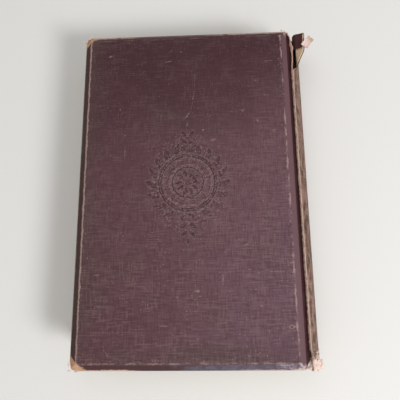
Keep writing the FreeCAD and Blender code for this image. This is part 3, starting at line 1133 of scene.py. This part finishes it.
def along_path(points, share):
    """A place on a soft line through points, at a share of its length in steps."""
    spot = share * (len(points) - 1)
    i = min(int(spot), len(points) - 2)
    t = spot - i
    before, start, end, after = (Vector(points[min(max(i + k, 0), len(points) - 1)]) for k in (-1, 0, 1, 2))
    return 0.5 * (
        2 * start + (end - before) * t + (2 * before - 5 * start + 4 * end - after) * t**2
        + (3 * start - before - 3 * end + after) * t**3
    )


def lip_reach(y):
    """How far the torn lip stands out past the ridge, in metres, at one height of the book."""
    spot = min(max(y / mm, lip_edge[0][0]), lip_edge[-1][0])
    for (low, start), (high, end) in zip(lip_edge, lip_edge[1:]):
        if spot <= high:
            break
    reach = start + (end - start) * (spot - low) / (high - low)
    return (reach + 0.2 * ripple(y, 4, 0, 1.1 * mm)) * mm


def joint_sheet(name, torn):
    """The cloth of one joint, from the cover's bevel through the groove to the spine."""
    piece = begin(
        name, bpy.ops.mesh.primitive_grid_add, x_subdivisions=32, y_subdivisions=300, size=1,
        location=(0.5, 0, 0), stretch=(1, 2 * half_height, 1),
    )
    bpy.ops.object.mode_set(mode="OBJECT")

    def sink(flat):
        x, z = along_path(joint_path, flat.x)
        z += 0.06 * mm * ripple(flat.x * 0.01, flat.y, 0, 5 * mm)
        if torn and flat.y > half_height - tear_length and flat.x > lip_pivot:
            start, end = along_path(joint_path, lip_pivot).x, along_path(joint_path, 1).x
            x = start + (x - start) * (spine_foot_x + lip_reach(flat.y) - start) / (end - start)
        if torn:
            z -= hole_depth * soft((hole_start - flat.y) / (4 * mm)) * soft((flat.x - 0.45) / 0.3)
        return Vector((x, flat.y, z))

    def bareness(flat):
        """1 within the lip's width of its torn edge and 0 farther in."""
        if not torn or flat.y < half_height - tear_length:
            return 0.0
        inwards = (spine_foot_x + lip_reach(flat.y) - sink(flat).x) / mm
        width = lip_thin + (lip_broad - lip_thin) * (1 - soft(abs(flat.y / mm - 88.5) / 6))
        return min(1, max(0, 1 + (width - inwards) / 0.3))

    lip = [bareness(corner.co) for corner in piece.data.vertices]
    mark = piece.data.attributes.new("bare_lip", "FLOAT", "POINT")
    mark.data.foreach_set("value", lip)
    reshape(piece, sink)
    modify(piece, "SOLIDIFY", thickness=0.4 * mm, offset=-1)
    return piece


for side in ("back", "front"):
    joint = joint_sheet(side + "_joint_cloth", torn=side == "back")
    if side == "front":
        bpy.ops.object.mode_set(mode="EDIT")
        turned_over()
    rest(joint, 50)
    level = groove_ridge_z if side == "back" else book_thick - groove_ridge_z
    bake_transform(joint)

# %% [markdown]
# ## The finish of the spine
# The spine faced the light on its shelf, so its dye has gone brown in blotches. Where the cloth bends
# over the ridge of the joint it is rubbed to bare cotton, and at the tail it is bare all round. The
# folded-in end at the head never saw the light and is still dark. Blotches, streaks and bare threads are
# three sizes of noise, stretched along the book.

# %% Spine finish
spine_brown = (0.235, 0.142, 0.108)
spine_dark = (0.07, 0.036, 0.027)
spine_red = (0.19, 0.098, 0.1)
lining_maroon = (0.06, 0.016, 0.018)
cotton = (0.7, 0.53, 0.46)
groove_dye_and_shade = (0.05, 0.014, 0.014)
lip_pink = (0.46, 0.29, 0.25)
ridge_cream = (0.6, 0.43, 0.36)
hole_shade = (0.034, 0.012, 0.009)
inlay_deep_shade = (0.12, 0.06, 0.032)


def spine_finish():
    finish = Finish("spine_cloth_finish", roughness=0.7, specular=0.2)
    x, y, z = finish.x, finish.y, finish.z
    blotches = finish.noise(2.4, (1, 2.6, 1), detail=5, rough=0.62)
    streaks = finish.noise(0.8, (1, 10, 1), detail=3)
    tone = finish.mix(spine_dark, spine_brown, (blotches * 0.75 + streaks * 0.25).step(0.39, 0.57))
    away = (z - mid_height / mm).step(9, 3) * finish.noise(5, (1, 3, 1), detail=2).step(0.35, 0.6)
    tone = finish.mix(tone, spine_red, away * 0.6)
    height, pale, dark = woven(finish)
    tone = finish.mix(tone, spine_dark, dark * 0.22)
    tone = finish.mix(tone, ridge_cream, pale * 0.12)
    ragged = finish.noise(1.1, (1, 3, 1), detail=4, rough=0.7)
    near_ridge = (x - spine_foot_x / mm + ragged).step(1.9, 0.7) * (z - mid_height / mm).step(9.5, 11)
    tone = finish.mix(tone, ridge_cream, near_ridge * (ragged.step(0.4, 0.55) * 0.7 + 0.3))
    turned_in = finish.node("ShaderNodeAttribute", {"attribute_name": "turned_in"}, out="Fac")
    inward = turned_in.step(0.3, 0.7)
    tone = finish.mix(tone, lining_maroon, inward * 0.93)
    beyond = x - crease_x / mm
    inner_wear = inward * beyond.step(3.6, 5.2) * (y + ragged * 3).step(97.2, 98.4)
    fold_edge = turned_in.step(0.01, 0.12) * turned_in.step(0.9, 0.6)
    rim = fold_edge * ragged.step(0.3, 0.5) * beyond.step(0.6, 2.5)
    tone = finish.mix(tone, lip_pink, rim.most(inner_wear) * 0.9)
    frayed = finish.noise(1.3, (1, 4, 1), detail=4, rough=0.7)
    bare = (y * -1 + frayed * 14 + (mid_height / mm + 4 - z) * 0.1).step(97.5, 101.5)
    tone = finish.mix(tone, cotton, bare * 0.9)
    finish.colour(tone)
    finish.rough(0.6 + height * 0.2)
    finish.bump(height + streaks * 0.6 + bare * frayed, 0.14)
    return finish


print("spine finish ready")

# %% Finish of the joints
def joint_finish():
    """Dark dye and painted shade in the groove and open head, rubbed on the ridge, and a pink torn lip."""
    finish = Finish("joint_cloth_finish", roughness=0.7, specular=0.2)
    x, y = finish.x, finish.y
    # the dark ground is the cloth's dark dye with painted shade of the groove
    tone, height = cloth_ground(finish, groove_dye_and_shade)
    tone = finish.mix(tone, groove_dye_and_shade, 0.75)
    ragged = finish.noise(1.1, (1, 2.5, 1), detail=4, rough=0.7)
    ridge = (x - spine_foot_x / mm + ragged * 0.9).step(-0.1, 0.35)
    tone = finish.mix(tone, ridge_cream, ridge * (ragged.step(0.36, 0.56) * 0.65 + 0.35))
    foot = (x - cover_edge / mm - ragged * 0.4).step(0.1, -0.3)
    tone = finish.mix(tone, bevel_right, foot * 0.8)
    # painted shade in the open head, between the torn lip and the spine
    open_head = (y - (half_height - tear_length) / mm).step(-0.5, 0.5)
    tone = finish.mix(tone, groove_dye_and_shade, open_head * (x - cover_edge / mm).step(0.3, 0.8))
    lip = finish.node("ShaderNodeAttribute", {"attribute_name": "bare_lip"}, out="Fac")
    tone = finish.mix(tone, lip_pink, (lip + (ragged - 0.5) * 0.8).step(0.3, 0.6))
    # painted shade in the dip of the groove near the tail
    dip_shade = (y * -1 + ragged * 2).step(88, 91) * (x - cover_edge / mm).step(0.4, 0.9)
    tone = finish.mix(tone, hole_shade, dip_shade * 0.9)
    tail_end = (y * -1 + (x - cover_edge / mm) * 1.5 + ragged * 2).step(98.0, 99.4)
    tone = finish.mix(tone, cotton, tail_end * 0.9)
    finish.colour(tone)
    finish.bump(height + ragged * ridge, 0.15)
    return finish


paint(spine, spine_finish())
cloth_of_joint = joint_finish()
for side in ("back", "front"):
    paint(bpy.data.objects[side + "_joint_cloth"], cloth_of_joint)
print("spine and joints painted")

# %% Finish of the papers
def paper_finish(name, tone, stained, fibre):
    """Old paper: foxed, a little cockled, browner in clouds. Returns the finish and its colour."""
    finish = Finish(name, roughness=0.85, specular=0.2)
    clouds = finish.noise(22, detail=4)
    fox = finish.noise(2.2, detail=4, rough=0.65)
    fibres = finish.noise(0.5, (1, 3, 1), detail=3, rough=0.7)
    colour = finish.mix(tone, stained, clouds.step(0.35, 0.8) * 0.45)
    colour = finish.mix(colour, stained, fox.step(0.66, 0.76) * 0.6)
    finish.colour(colour)
    finish.rough(0.78 + fibres * 0.15)
    finish.bump(fibres * fibre + clouds * 0.4, 0.12)
    return finish, colour


def inlay_finish():
    """Tan paper with streaks, painted lighter at its free edge and painted shade lower down in the spine."""
    finish, colour = paper_finish("tan_inlay_paper", (0.95, 0.72, 0.5), (0.9, 0.62, 0.4), 1)
    streaks = finish.noise(0.9, (1, 6, 1), detail=3)
    colour = finish.mix(colour, (0.5, 0.33, 0.22), streaks.step(0.52, 0.66) * 0.4)
    # painted light: paler towards the free edge, which faces up into the light
    colour = finish.mix(colour, (0.9, 0.78, 0.6), (finish.x + streaks * 2).step(72.5, 74.5) * 0.6)
    # painted shade deep inside the spine, darkening the lower part of the inlay
    deep_shade = (finish.x + (finish.z - crease_z / mm) * 0.3 + streaks * 0.7).step(69.9, 69.3)
    finish.colour(finish.mix(colour, inlay_deep_shade, deep_shade * 0.96))
    return finish


end_paper = paper_finish("end_paper", (0.66, 0.56, 0.4), (0.45, 0.3, 0.16), 0.5)[0]
paint(inlay, inlay_finish())
for name in ("back_free_endpaper", "front_free_endpaper", "back_pastedown", "front_pastedown"):
    paint(frame["nodes"][name], end_paper)
print("inlay and endpapers painted")

# %% [markdown]
# ## The pages
# The pages are one block, sewn in gatherings, rounded at the back and hollow at the fore-edge. Trimmed
# edges are never quite flat after a century: each gathering has crept a little. A grid is extruded level
# by level, and a rule moves each level to the round of the back and the hollow of the fore-edge, with a
# small step for each gathering.

# %% Pages
page_cream = (0.62, 0.5, 0.33)
page_shade = (0.4, 0.29, 0.17)
page_tan = (0.5, 0.36, 0.2)
page_dust = (0.33, 0.24, 0.16)
page_columns = 16
gatherings = 22
page_half = pages_high.y
pages_top = leaf_low.z
pages_bottom = book_thick - pages_top
fore_edge_x = leaf_low.x
fore_edge_hollow = 2.6 * mm
shoulder_x = cover_edge + 0.85 * mm
shoulder_slope = 1.3 * mm
lining_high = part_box("spine_lining")[1]
block_radius = lining_high.x - 0.3 * mm - spine_centre_x
shoulder_rise = math.sqrt(block_radius**2 - (shoulder_x - spine_centre_x) ** 2)
gathering_thick = (pages_top - pages_bottom) / gatherings
levels = (0.12, 0.5, 0.88, 1.0)
page_rng = random.Random(11)
creeps = [(page_rng.uniform(0, 0.3) * mm, page_rng.uniform(0, 0.35) * mm) for k in range(gatherings)]


def page_block():
    piece = begin(
        "page_block", bpy.ops.mesh.primitive_grid_add, x_subdivisions=page_columns, y_subdivisions=26,
        size=1, location=((fore_edge_x + shoulder_x) / 2, 0, pages_bottom),
        stretch=(shoulder_x - fore_edge_x, 2 * page_half, 1),
    )
    bpy.ops.mesh.select_all(action="SELECT")
    for k in range(gatherings):
        below = 0
        for level in levels:
            rise = (level - below) * gathering_thick
            bpy.ops.mesh.extrude_region_move(TRANSFORM_OT_translate={"value": (0, 0, rise)})
            below = level
    bpy.ops.mesh.select_all(action="SELECT")
    bpy.ops.mesh.normals_make_consistent(inside=False)
    bpy.ops.object.mode_set(mode="OBJECT")
    column = (shoulder_x - fore_edge_x) / page_columns
    tiny = 0.01 * mm

    def settle(corner):
        x, y, z = corner
        k = min(gatherings - 1, int((z - pages_bottom + tiny) / gathering_thick))
        part = (z - pages_bottom) / gathering_thick - k
        notch = 0.1 * mm * abs(2 * part - 1) ** 4
        creep_x, creep_y = creeps[k]
        drop = z - mid_height
        if x < fore_edge_x + tiny:
            bend = 1 - (drop / (pages_top - mid_height)) ** 2
            x = fore_edge_x + fore_edge_hollow * bend + notch + creep_x + 0.12 * mm * ripple(0, y, z, 14 * mm)
        elif x > shoulder_x - tiny:
            x = spine_centre_x + math.sqrt(block_radius**2 - drop**2) - notch
            if abs(drop) > pages_top - mid_height - tiny:
                x = shoulder_x
                z = mid_height + math.copysign(shoulder_rise, drop)
        elif x > shoulder_x - column - tiny:
            x = shoulder_x - shoulder_slope
        if abs(y) > page_half - tiny:
            y = math.copysign(page_half - notch - creep_y - 0.08 * mm * abs(ripple(x, 0, z, 12 * mm)), y)
        return Vector((x, y, z))

    reshape(piece, settle)
    return piece


def page_edge_finish():
    finish = Finish("page_edges", roughness=0.85, specular=0.2)
    leaves = finish.noise(0.16, (60, 60, 1), detail=3, rough=0.7)
    bands = finish.noise(1.1, (30, 30, 1), detail=2)
    dust = finish.noise(14, detail=4)
    tone = finish.mix(page_cream, page_shade, leaves.step(0.4, 0.68) * 0.75)
    tone = finish.mix(tone, page_tan, bands.step(0.45, 0.7) * 0.6)
    tone = finish.mix(tone, page_dust, dust.step(0.52, 0.75) * 0.55)
    finish.colour(tone)
    finish.bump(leaves + bands, 0.16)
    return finish


pages = page_block()
rest(pages, 30)
paint(pages, page_edge_finish())
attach(pages, "book_body")
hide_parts("text_block")

# %% [markdown]
# ## The folds of the endpapers
# An endpaper is one folded sheet: half is pasted to the board, half lies on the pages, and the fold
# between them opens with the cover. The halves are solids already. The fold is a narrow strip in the
# gutter, so that no slit shows between page and board.

# %% Endpaper folds
fold_path = [
    (leaf_high.x - 0.3 * mm, leaf_high.z - 0.05 * mm), (cover_edge - 0.8 * mm, leaf_high.z - 0.02 * mm),
    (cover_edge + 0.35 * mm, leaf_high.z + 0.05 * mm), (cover_edge + 0.8 * mm, leaf_high.z + 0.1 * mm),
    (cover_edge + 1.0 * mm, leaf_high.z + 0.17 * mm), (cover_edge + 0.8 * mm, leaf_high.z + 0.24 * mm),
    (cover_edge + 0.3 * mm, leaf_high.z + 0.26 * mm), (cover_edge - 0.4 * mm, leaf_high.z + 0.24 * mm),
]


def endpaper_fold(name):
    piece = begin(
        name, bpy.ops.mesh.primitive_grid_add, x_subdivisions=42, y_subdivisions=40, size=1,
        location=(0.5, 0, 0), stretch=(1, 2 * page_half, 1),
    )
    bpy.ops.object.mode_set(mode="OBJECT")

    def fold(flat):
        x, z = along_path(fold_path, flat.x)
        return Vector((x, flat.y, z))

    reshape(piece, fold)
    modify(piece, "SOLIDIFY", thickness=0.08 * mm, offset=0)
    return piece


for side in ("back", "front"):
    fold = endpaper_fold(side + "_endpaper_fold")
    low, high = leaf_high.z + 0.12 * mm, leaf_high.z + 0.24 * mm
    if side == "front":
        bpy.ops.object.mode_set(mode="EDIT")
        turned_over()
        low, high = book_thick - low, book_thick - high
    rest(fold, 60)
    paint(fold, end_paper)
    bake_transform(fold)


def mull_finish():
    """Open-weave cotton that is glued to the back of the pages."""
    finish = Finish("mull", roughness=0.9, specular=0.15)
    weave = finish.noise(0.5, (1, 12, 1), detail=2).most(finish.noise(0.5, (12, 1, 12), detail=2))
    glue = finish.noise(9, detail=3)
    tone = finish.mix((0.2, 0.13, 0.075), (0.09, 0.052, 0.028), weave.step(0.45, 0.7) * 0.8)
    tone = finish.mix(tone, (0.1, 0.055, 0.024), glue.step(0.5, 0.7) * 0.6)
    finish.colour(tone)
    finish.bump(weave, 0.25)
    return finish


paint(frame["nodes"]["spine_lining"], mull_finish())

# %% [markdown]
# ## The torn flap at the head
# A scrap of the spine cloth has torn loose at the head and stands out to the right, showing the pinkish
# cream cotton of its reverse. A small grid is curled across its width, laid nearly level and torn off
# unevenly at its end.

# %% Head flap
flap_length = 8.4 * mm
flap_width = 4.9 * mm
flap_turn = math.radians(52)
flap_rise = math.radians(2)
flap_root = on_spine(0.96, half_height - 9.8 * mm, 1.1 * mm) + Vector((1.2 * mm, 0, 0.2 * mm))
flap_top = 26.25 * mm


def head_flap():
    """A scrap of cloth that leaves the free edge slantwise and lies nearly level."""
    piece = begin(
        "head_flap", bpy.ops.mesh.primitive_grid_add, x_subdivisions=36, y_subdivisions=22,
        size=1, location=(0.5, 0, 0),
    )

    def torn_off(place, normal):
        return place.x > 0.94 + 0.1 * ripple(place.y, 0, 0, 0.2) - 0.12 * max(0, place.y)

    pick("FACE", torn_off)
    bpy.ops.mesh.delete(type="FACE")
    bpy.ops.object.mode_set(mode="OBJECT")

    def curl(flat):
        along = flat.x * flap_length
        across = flat.y * flap_width * (1.04 - 0.12 * flat.x) + 0.2 * mm * ripple(flat.x, 0, flat.y, 0.3)
        lift = along * math.sin(flap_rise) + 0.4 * mm * (abs(flat.y) * 2) ** 2 - 0.7 * mm * flat.x**2
        lift += 0.22 * mm * ripple(flat.x, flat.y, 0, 0.35)
        level = along * math.cos(flap_rise)
        x = level * math.cos(flap_turn) + across * math.sin(flap_turn)
        y = level * math.sin(flap_turn) - across * math.cos(flap_turn)
        place = flap_root + Vector((x, y, lift))
        place.z = min(place.z, flap_top)
        return place

    reshape(piece, curl)
    modify(piece, "SOLIDIFY", thickness=cloth_thick, offset=0)
    modify(piece, "SUBSURF", levels=1, render_levels=1)
    return piece


def bare_cotton(name, tone, stain, size):
    """Torn cotton: pale, blushed by the dye in places, with darker fibres. Returns (finish, colour)."""
    finish = Finish(name, roughness=0.9, specular=0.1)
    fibres = finish.noise(0.6, (1, 3, 1), detail=3, rough=0.7)
    blush = finish.noise(size, detail=3)
    colour = finish.mix(tone, stain, blush.step(0.46, 0.66) * 0.75)
    colour = finish.mix(colour, (0.3, 0.19, 0.15), fibres.step(0.6, 0.74) * 0.35)
    finish.colour(colour)
    finish.bump(fibres, 0.25)
    return finish, colour


def flap_finish():
    """Pinkish cream cotton with a tan crust of glue on its tip."""
    finish, colour = bare_cotton("flap_cotton", (0.8, 0.64, 0.6), (0.78, 0.45, 0.44), 2.6)
    from_x = finish.x - flap_root.x / mm
    from_y = finish.y - flap_root.y / mm
    along = from_x * math.cos(flap_turn) + from_y * math.sin(flap_turn)
    glue = (along + finish.noise(1.5, detail=3) * 1.5).step(5.3, 6.9)
    finish.colour(finish.mix(colour, (0.58, 0.45, 0.31), glue))
    return finish


flap = head_flap()
rest(flap, 60)
paint(flap, flap_finish())
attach(flap, "book_body")

# %% [markdown]
# ## The frayed tail
# At the tail the end of the spine has been crushed into a pale wad of cotton and paper. A few small
# spheres are squashed and displaced until they look like torn fibre, and loose threads stand out of them.

# %% Frayed tail
thread_radius = 0.17 * mm
thread_steps = 6


def wad(name, lumps):
    """Torn fibre: (x, y, z, half x, half y, half z) of each lump in mm."""
    parts = []
    for i, (x, y, z, half_x, half_y, half_z) in enumerate(lumps):
        part = begin(
            name + str(i), bpy.ops.mesh.primitive_ico_sphere_add, subdivisions=4, radius=mm,
            location=(x * mm, y * mm, z * mm), stretch=(half_x, half_y, half_z),
        )
        bpy.ops.object.mode_set(mode="OBJECT")
        middle = Vector((x, y, z)) * mm

        def tear(corner):
            out = corner - middle
            rough = 1 + 0.45 * ripple(*corner, 1.7 * mm) + 0.3 * ripple(*corner, 0.7 * mm)
            return middle + out * rough

        reshape(part, tear)
        parts.append(part)
    bpy.ops.object.select_all(action="DESELECT")
    for part in parts:
        part.select_set(True)
    bpy.context.view_layer.objects.active = parts[0]
    bpy.ops.object.join()
    parts[0].name = name
    modify(parts[0], "REMESH", mode="VOXEL", voxel_size=0.22 * mm)

    def fluff(corner):
        rise = 0.35 * ripple(*corner, 0.9 * mm) + 0.2 * ripple(*corner, 0.4 * mm)
        return corner + Vector((0.2, 0, 1)) * rise * mm

    reshape(parts[0], fluff)
    return parts[0]


print("wad rule ready")

# %% Loose threads
def threads(name, highest, roots, rng):
    """Loose threads below highest: (x, y, z, direction x, y, z, length, how many, spread) in mm."""
    curve = bpy.data.curves.new(name, "CURVE")
    curve.dimensions = "3D"
    curve.bevel_depth = thread_radius
    curve.bevel_resolution = 0
    curve.use_fill_caps = True
    for x, y, z, aim_x, aim_y, aim_z, length, count, spread in roots:
        for n in range(count):
            spot = Vector((x, y, z)) + Vector(rng.uniform(-spread, spread) for axis in range(3))
            aim = Vector((aim_x, aim_y, aim_z)).normalized()
            aim += Vector(rng.uniform(-0.2, 0.2) for axis in range(3))
            spline = curve.splines.new("POLY")
            spline.points.add(thread_steps)
            for i in range(thread_steps + 1):
                spot.z = min(spot.z, highest)
                spline.points[i].co = (*(spot * mm), 1)
                spline.points[i].radius = 1 - 0.6 * i / thread_steps
                aim += Vector(rng.uniform(-0.22, 0.22) for axis in range(3))
                spot = spot + aim.normalized() * length * rng.uniform(0.7, 1.1) / thread_steps
    item = bpy.data.objects.new(name, curve)
    bpy.context.scene.collection.objects.link(item)
    bpy.ops.object.select_all(action="DESELECT")
    item.select_set(True)
    bpy.context.view_layer.objects.active = item
    bpy.ops.object.convert(target="MESH")
    return bpy.context.object


tail_wad = wad("tail_wad", [
    (66.2, -96.8, 24.5, 1.7, 2.0, 1.3), (68.0, -97.2, 24.0, 1.9, 1.9, 1.5),
    (69.8, -96.9, 22.6, 1.7, 2.0, 1.8), (71.0, -97.3, 20.0, 1.4, 1.9, 2.2),
    (71.4, -97.6, 17.0, 1.0, 1.6, 2.2), (67.2, -94.8, 24.8, 1.0, 1.9, 0.9),
    (71.9, -94.9, 20.6, 0.9, 0.5, 0.5), (64.9, -97.9, 24.9, 1.0, 0.9, 0.9),
    (69.0, -95.4, 23.8, 1.6, 1.4, 1.0), (67.0, -98.9, 24.7, 0.9, 0.7, 1.0),
])
cotton_finish = bare_cotton("bare_cotton", (0.8, 0.64, 0.57), (0.62, 0.42, 0.36), 1.8)[0]
rest(tail_wad, 60)
paint(tail_wad, cotton_finish)
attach(tail_wad, "book_body")

tail_threads = threads("tail_threads", 26.2, [
    (66.3, -94.5, 25.4, -0.02, 1, -0.03, 6.0, 5, 0.25), (68.0, -94, 24.9, 0.02, 1, -0.05, 5.2, 4, 0.25),
    (66.2, -90.4, 25.5, -1, 0.25, -0.06, 2.4, 4, 0.25), (66.2, -93.0, 25.5, -1, 0.3, -0.06, 1.8, 3, 0.25),
    (68.6, -90.0, 24.6, 1, 0.1, -0.55, 2.0, 5, 0.6), (69.8, -89.2, 22.8, 0.7, 0.2, -1, 1.4, 3, 0.4),
    (69, -98.5, 22.5, 0.1, -1, 0.1, 1.4, 8, 0.6), (66, -98.2, 25, -0.4, -1, 0, 1.4, 6, 0.6),
    (71.8, -98.0, 18.5, 0.5, -1, 0.1, 1.5, 5, 0.6), (64.6, -97.6, 25.8, -1, -0.1, -0.02, 2.2, 6, 0.3),
], random.Random(5))
rest(tail_threads, 60)
paint(tail_threads, cotton_finish)
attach(tail_threads, "book_body")

corner_threads = threads("cover_threads", 29.4, [
    (-62.3, 95.2, 27.2, -1, 0.6, 0.1, 2.2, 6, 0.7), (-62.2, 92.2, 27.2, -0.5, 1, 0.1, 2.6, 6, 0.7),
    (-60.2, 98.0, 27.6, 0.8, 0.5, 0.1, 2.4, 6, 0.6), (-61.2, 97.4, 27.4, -0.6, 1, 0.1, 1.5, 5, 0.6),
    (-62.1, -98.2, 27, -1, -0.5, 0.05, 1.0, 6, 0.5), (-62.3, -94.5, 27, -0.4, -1, 0.1, 2.0, 5, 0.7),
    (-59.5, -98.6, 27, 1, -0.2, 0, 2.2, 6, 0.5), (59.6, 98.3, 27.8, 0.3, 1, 0.1, 1.0, 4, 0.5),
    (61.6, 98.3, 27.6, 0.1, 1, 0.1, 1.2, 5, 0.4), (60.3, -97.9, 27.7, 1, -0.1, -0.1, 1.8, 7, 0.4),
    (57.8, -97.8, 27.7, 1, 0, -0.05, 2.0, 5, 0.3),
], random.Random(9))
rest(corner_threads, 60)
paint(corner_threads, cotton_finish)
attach(corner_threads, "back_cover")

# %% [markdown]
# ## Measure and finish
# The boxes of the solids and of the dressed book are both measured and printed. The dressed book
# may stand only a little proud of its solids.

# %% Measure and finish
dressed_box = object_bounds()
for name, (low, high) in (("solids", solid_box), ("dressed", dressed_box)):
    print(name, [round(v / mm, 1) for v in low], [round(v / mm, 1) for v in high])
